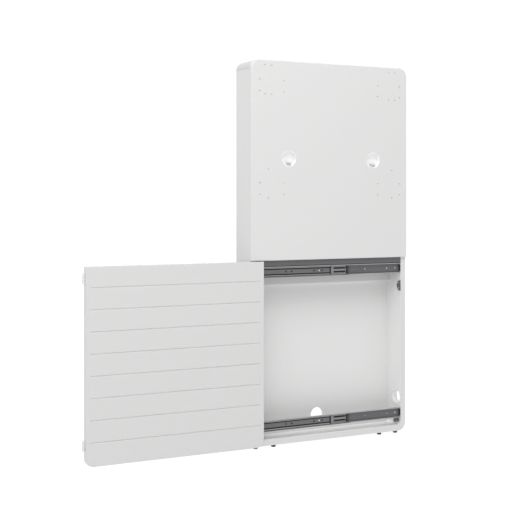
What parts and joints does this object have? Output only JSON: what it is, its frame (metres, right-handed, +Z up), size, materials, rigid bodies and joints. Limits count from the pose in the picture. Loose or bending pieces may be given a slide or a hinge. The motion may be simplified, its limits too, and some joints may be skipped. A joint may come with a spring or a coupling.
{
  "type": "changing table cabinet",
  "caption": "Slim changing-table wall cabinet: closed drilled upper box over an open lower box, with a boarded panel that slides sideways on full-extension ball slides.",
  "frame": {"origin": "on the floor, under the middle of the whole object's box with the panel slid fully out, which is the rest pose; the cabinet's own centre plane is at X = 374.5 mm", "axes": "+Z up, +X to the right as seen from the front, +Y from the front to the wall"},
  "size_m": [1.549, 0.16, 1.677],
  "materials": {
    "white_paint": "satin white lacquer on board",
    "panel_paint": "satin white lacquer on grooved board",
    "back_paint": "thin white-faced back board",
    "raw_wood": "bare beech and plywood, hidden",
    "cup_plastic": "white moulded plastic",
    "dark_plastic": "dark grey moulded plastic",
    "hook_steel": "bent steel, brushed",
    "bright_steel": "zinc-plated screws and inserts",
    "slide_steel": "rolled steel, dark electrophoretic coat",
    "cage_steel": "pressed steel cage",
    "ball_steel": "hardened steel balls",
    "dark_steel": "dark grey powder coat on sheet steel",
    "foot_rubber": "black rubber",
    "bumper_rubber": "black rubber"
  },
  "bodies": {
    "cabinet": {"bracket_inserts": "bright_steel", "carcass_dowels": "raw_wood", "foot_screws": "bright_steel", "front_feet": "foot_rubber", "half_round_catch": "dark_plastic", "hanger_cup_left": "cup_plastic", "hanger_cup_right": "cup_plastic", "hanger_hook_left": "hook_steel", "hanger_hook_right": "hook_steel", "hook_screws": "bright_steel", "lower_back_panel": "back_paint", "lower_back_rail": "white_paint", "lower_bottom_panel": "white_paint", "lower_bracket_block_left": "raw_wood", "lower_bracket_block_right": "raw_wood", "lower_left_corner": "white_paint", "lower_left_side": "white_paint", "lower_right_corner": "white_paint", "lower_right_side": "white_paint", "lower_slide_bumper": "bumper_rubber", "lower_slide_outer": "slide_steel", "rail_bolts": "bright_steel", "rear_feet": "foot_rubber", "slide_end_bracket_left": "dark_steel", "slide_end_bracket_right": "dark_steel", "slide_screws": "bright_steel", "steel_top_rail": "dark_steel", "upper_back_panel": "back_paint", "upper_bottom_panel": "white_paint", "upper_bracket_block_left": "raw_wood", "upper_bracket_block_right": "raw_wood", "upper_front_panel": "white_paint", "upper_left_corner": "white_paint", "upper_left_side": "white_paint", "upper_right_corner": "white_paint", "upper_right_side": "white_paint", "upper_slide_bumper": "bumper_rubber", "upper_slide_outer": "slide_steel", "upper_top_panel": "white_paint", "wall_cleat": "raw_wood", "wall_fixing_screws": "bright_steel"},
    "panel": {"lower_slide_inner": "slide_steel", "panel_end_tabs": "cup_plastic", "panel_screws": "bright_steel", "sliding_panel": "panel_paint", "upper_slide_inner": "slide_steel"},
    "upper_middle": {"upper_slide_middle": "slide_steel"},
    "upper_outer_cage": {"upper_outer_ball_cage": "cage_steel", "upper_outer_balls": "ball_steel"},
    "upper_inner_cage": {"upper_inner_ball_cage": "cage_steel", "upper_inner_balls": "ball_steel"},
    "lower_middle": {"lower_slide_middle": "slide_steel"},
    "lower_outer_cage": {"lower_outer_ball_cage": "cage_steel", "lower_outer_balls": "ball_steel"},
    "lower_inner_cage": {"lower_inner_ball_cage": "cage_steel", "lower_inner_balls": "ball_steel"}
  },
  "joints": [
    {"name": "panel_slide", "type": "slide", "parent": "cabinet", "child": "panel", "axis": [1, 0, 0], "range_m": [0, 0.7425]},
    {"name": "upper_middle_slide", "type": "slide", "parent": "cabinet", "child": "upper_middle", "axis": [1, 0, 0], "range_m": [0, 0.37125]},
    {"name": "upper_outer_cage_slide", "type": "slide", "parent": "cabinet", "child": "upper_outer_cage", "axis": [1, 0, 0], "range_m": [0, 0.18563]},
    {"name": "upper_inner_cage_slide", "type": "slide", "parent": "cabinet", "child": "upper_inner_cage", "axis": [1, 0, 0], "range_m": [0, 0.55688]},
    {"name": "lower_middle_slide", "type": "slide", "parent": "cabinet", "child": "lower_middle", "axis": [1, 0, 0], "range_m": [0, 0.37125]},
    {"name": "lower_outer_cage_slide", "type": "slide", "parent": "cabinet", "child": "lower_outer_cage", "axis": [1, 0, 0], "range_m": [0, 0.18563]},
    {"name": "lower_inner_cage_slide", "type": "slide", "parent": "cabinet", "child": "lower_inner_cage", "axis": [1, 0, 0], "range_m": [0, 0.55688]}
  ],
  "couplings": [
    {"joint": "upper_middle_slide", "follows": "panel_slide", "ratio": 0.5},
    {"joint": "upper_outer_cage_slide", "follows": "panel_slide", "ratio": 0.25},
    {"joint": "upper_inner_cage_slide", "follows": "panel_slide", "ratio": 0.75},
    {"joint": "lower_middle_slide", "follows": "panel_slide", "ratio": 0.5},
    {"joint": "lower_outer_cage_slide", "follows": "panel_slide", "ratio": 0.25},
    {"joint": "lower_inner_cage_slide", "follows": "panel_slide", "ratio": 0.75}
  ]
}
